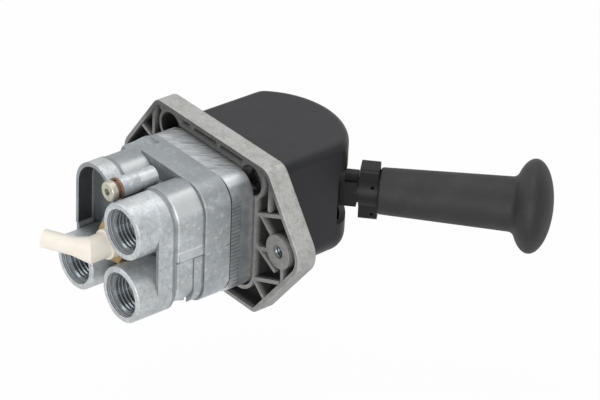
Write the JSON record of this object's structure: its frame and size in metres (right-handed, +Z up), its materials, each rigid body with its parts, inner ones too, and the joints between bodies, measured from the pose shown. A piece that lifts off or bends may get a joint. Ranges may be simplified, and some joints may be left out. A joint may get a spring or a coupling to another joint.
{
  "type": "parking brake control valve",
  "caption": "Panel mounted air brake hand control valve: ribbed hexagonal flange, die-cast port housing, dark hood and a pull-and-swing lever with a mushroom grip.",
  "frame": {"origin": "centre of the flange's front face, midway between its two fixing holes", "axes": "+Y along the valve axis from the ports to the hood, +Z up, +X to the side where the lever stands when released"},
  "size_m": [0.1308, 0.1699, 0.0603],
  "materials": {
    "cast_light": "satin",
    "die_cast": "satin",
    "machined": "brushed",
    "black_cover": "satin",
    "black_lever": "matte",
    "grip_rubber": "matte",
    "ivory_plastic": "matte",
    "brass": "turned",
    "copper": "stamped",
    "zinc_steel": "plated",
    "spring_steel": "bright",
    "seal_rubber": "matte",
    "bronze": "sintered",
    "white_plastic": "matte"
  },
  "bodies": {
    "root": {"flange": "cast_light", "hood": "black_cover", "hood_screws": "zinc_steel", "valve_body": "machined", "body_gasket": "seal_rubber", "port_housing": "die_cast", "clamp_screws": "zinc_steel", "pivot_bracket": "zinc_steel", "gate_plate": "zinc_steel", "pivot_pin": "zinc_steel", "pivot_circlips": "spring_steel", "thrust_washers": "bronze", "return_spring": "spring_steel", "plunger_bush": "bronze", "graduating_spring": "spring_steel", "valve_spring": "spring_steel", "valve_guide": "brass", "guide_ring": "seal_rubber", "snap_ring": "spring_steel", "exhaust_spigot": "brass", "exhaust_elbow": "ivory_plastic", "vent_screw": "zinc_steel", "spring_washer": "zinc_steel", "vent_washer": "copper"},
    "lever": {"lever_arm": "black_lever", "hub_bush": "bronze", "slot_shield": "black_lever", "control_cam": "zinc_steel", "cam_pins": "spring_steel", "end_plug": "brass", "handle_spring": "spring_steel"},
    "handle": {"release_collar": "black_lever", "grip": "grip_rubber", "pull_rod": "zinc_steel", "lock_pin": "spring_steel"},
    "plunger": {"plunger": "white_plastic"},
    "piston": {"graduating_piston": "machined", "piston_ring": "seal_rubber"},
    "valve": {"inlet_valve": "brass"}
  },
  "joints": [
    {"name": "lever_swing", "type": "hinge", "parent": "root", "child": "lever", "pos_m": [0, 0.0216, 0], "axis": [0, 0, 1], "range_deg": [0, 73], "stiffness_Nm_per_rad": 0.3, "deforming": ["return_spring"]},
    {"name": "grip_pull", "type": "slide", "parent": "lever", "child": "handle", "axis": [0.7314, 0.682, 0], "range_m": [0, 0.005], "stiffness_N_per_m": 600, "springref_m": -0.01, "deforming": ["handle_spring"]},
    {"name": "plunger_slide", "type": "slide", "parent": "root", "child": "plunger", "axis": [0, 1, 0], "range_m": [0, 0.0031], "deforming": ["graduating_spring"]},
    {"name": "piston_slide", "type": "slide", "parent": "root", "child": "piston", "axis": [0, 1, 0], "range_m": [0, 0.0016]},
    {"name": "valve_slide", "type": "slide", "parent": "root", "child": "valve", "axis": [0, 1, 0], "range_m": [0, 0.00105], "deforming": ["valve_spring"]}
  ],
  "couplings": [
    {"joint": "plunger_slide", "follows": "lever_swing", "m_per_rad": 0.0023546},
    {"joint": "piston_slide", "follows": "lever_swing", "m_per_rad": 0.0011773},
    {"joint": "valve_slide", "follows": "lever_swing", "m_per_rad": 0.00078487}
  ]
}
